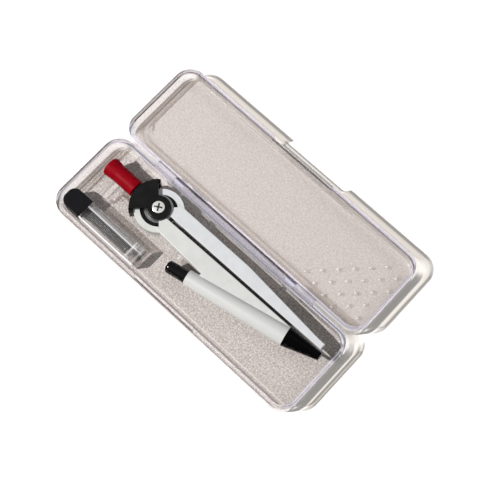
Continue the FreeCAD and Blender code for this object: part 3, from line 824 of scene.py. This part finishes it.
def add_piece(name, shape, body, material, smooth=True):
    """Turn a bmesh into a piece that rides on a body."""
    mesh = bpy.data.meshes.new(name)
    for face in shape.faces:
        face.smooth = smooth
    shape.to_mesh(mesh)
    shape.free()
    mesh.materials.append(material)
    piece = bpy.data.objects.new(name, mesh)
    bpy.context.scene.collection.objects.link(piece)
    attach(piece, body)
    print(name, len(mesh.polygons), "faces")
    return piece


add_piece("lid_dots", dots, "lid", pale_dot_glint.material)

# %% [markdown]
# ## Pivot screw
# The head is a low dome with a cross for the driver. A dome could be part of a ball, but then a
# cross has no edges to follow. A square grid has them: its middle rows make the cross, which is
# pushed in, and moving each point by a simple rule turns the square into a round dome. The rim is
# then drawn down and in to make the side and the shank. The steel is bright and a little worn, and
# painted shade darkens the depth of the cross.

# %% Screw
screw_low, screw_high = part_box("pivot_screw")
screw_radius = (screw_high[0] - screw_low[0]) / 2
screw_place = Vector(((screw_low[0] + screw_high[0]) / 2, (screw_low[1] + screw_high[1]) / 2, screw_high[2]))
dome_rise = 0.00045
head_depth = 0.0014
shank_radius, shank_depth = 0.0013, 0.0070
cross_depth = 0.0007
cross_taper = 0.8
cross_turn = math.radians(30)
edge_round = 0.00008
sharp_bend = 0.8
squares = 7
arm_half_width, arm_length = 0.15, 0.60

screw = bmesh.new()
bmesh.ops.create_grid(screw, x_segments=squares, y_segments=squares, size=1.0)
cross = []
for face in screw.faces:
    middle = face.calc_center_median()
    near, far = sorted((abs(middle.x), abs(middle.y)))
    if near < arm_half_width and far < arm_length:
        cross.append(face)
cross_edges = [edge for edge in screw.edges if any(face in cross for face in edge.link_faces)]
pushed = bmesh.ops.extrude_face_region(screw, geom=cross + cross_edges)["geom"]
cross_floor = [item for item in pushed if isinstance(item, bmesh.types.BMVert)]
for vert in screw.verts:
    x, y = vert.co.x, vert.co.y
    vert.co.x = x * math.sqrt(1 - y * y / 2) * screw_radius
    vert.co.y = y * math.sqrt(1 - x * x / 2) * screw_radius
    vert.co.z = -dome_rise * (vert.co.x ** 2 + vert.co.y ** 2) / screw_radius ** 2
bmesh.ops.scale(screw, verts=cross_floor, vec=(cross_taper, cross_taper, 1))
bmesh.ops.translate(screw, verts=cross_floor, vec=(0, 0, -cross_depth))
for width, depth in ((1.0, head_depth), (shank_radius / screw_radius, head_depth), (1.0, shank_depth)):
    rim = [edge for edge in screw.edges if edge.is_boundary]
    drawn = bmesh.ops.extrude_edge_only(screw, edges=rim)["geom"]
    ring = [item for item in drawn if isinstance(item, bmesh.types.BMVert)]
    bmesh.ops.scale(screw, verts=ring, vec=(width, width, 1))
    for vert in ring:
        vert.co.z = -depth
bmesh.ops.holes_fill(screw, edges=[edge for edge in screw.edges if edge.is_boundary], sides=0)
bmesh.ops.recalc_face_normals(screw, faces=screw.faces)
sharp = [edge for edge in screw.edges if len(edge.link_faces) == 2 and edge.calc_face_angle() > sharp_bend]
bmesh.ops.bevel(
    screw, geom=sharp, offset=edge_round, segments=2, profile=0.5, affect="EDGES", material=-1
)
bmesh.ops.rotate(screw, verts=screw.verts, cent=(0, 0, 0), matrix=Matrix.Rotation(cross_turn, 3, "Z"))
bmesh.ops.translate(screw, verts=screw.verts, vec=screw_place)
print("screw head", round(2000 * screw_radius, 1), "mm wide")

# %% Worn steel of the screw
screw_top = screw_high[2]
screw_steel = Finish("screw_steel")
screw_steel.set(Metallic=0.5, Roughness=0.2)
worn = screw_steel.mix(screw_steel.noise(0.0006), (0.78, 0.76, 0.74), (0.95, 0.94, 0.92))
# Painted shade: the steel turns dark in the depth of the cross.
recess_painted_shade = screw_steel.before("Z", screw_top - 0.0006, screw_top - 0.0004)
screw_steel.feed("Base Color", screw_steel.mix(recess_painted_shade, worn, (0.03, 0.03, 0.03)))
screw_piece = add_piece("screw", screw, "compass_head", screw_steel.material, smooth=False)
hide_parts("pivot_screw")

# %% [markdown]
# ## Softened edges
# Moulded black parts have small rounds on every edge, and it is these that catch the light and
# show the shape of something black. The two that show most, the head of the compass and the cap of
# the lead box, have sharp solids. A copy of each is merged, flat triangles are joined into whole
# faces, and only then are the sharp edges bevelled: a bevel on loose triangles would cut across the
# faces. Inner corners are left, because a bevel would fill them, and they hold other pieces. Each
# corner then takes its shading from the faces around it by their area, so large faces stay flat and
# only the rounds are shaded round.

# %% Softened copies
sharp_angle = math.radians(50)
flat_angle = math.radians(1)
same_point, same_bevel_point = 1e-6, 1e-7
soft_pieces = (("yoke_front", "compass_head", 0.00022), ("lead_box_cap", "lead_cap", 0.00035))


def soften(node_name, body, width):
    """Replace a black solid by a copy with its outer edges rounded over a width."""
    solid = nodes[node_name]
    shape = bmesh.new()
    shape.from_mesh(solid.data)
    bmesh.ops.remove_doubles(shape, verts=shape.verts, dist=same_point)
    bmesh.ops.dissolve_limit(
        shape, angle_limit=flat_angle, verts=shape.verts, edges=shape.edges, delimit={"NORMAL"}
    )
    hard = [edge for edge in shape.edges if edge.is_convex and edge.calc_face_angle() > sharp_angle]
    bmesh.ops.bevel(
        shape, geom=hard, offset=width, offset_type="OFFSET", segments=3, profile=0.5, affect="EDGES",
        clamp_overlap=True, material=-1,
    )
    bmesh.ops.remove_doubles(shape, verts=shape.verts, dist=same_bevel_point)
    bmesh.ops.recalc_face_normals(shape, faces=shape.faces)
    shading = []
    for vert in shape.verts:
        faces = vert.link_faces
        shading.append(sum((face.normal * face.calc_area() for face in faces), Vector()).normalized())
    piece = add_piece("soft_" + node_name, shape, body, solid.material_slots[0].material)
    piece.data.normals_split_custom_set_from_vertices(shading)
    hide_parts(node_name)


for node_name, body, width in soft_pieces:
    soften(node_name, body, width)
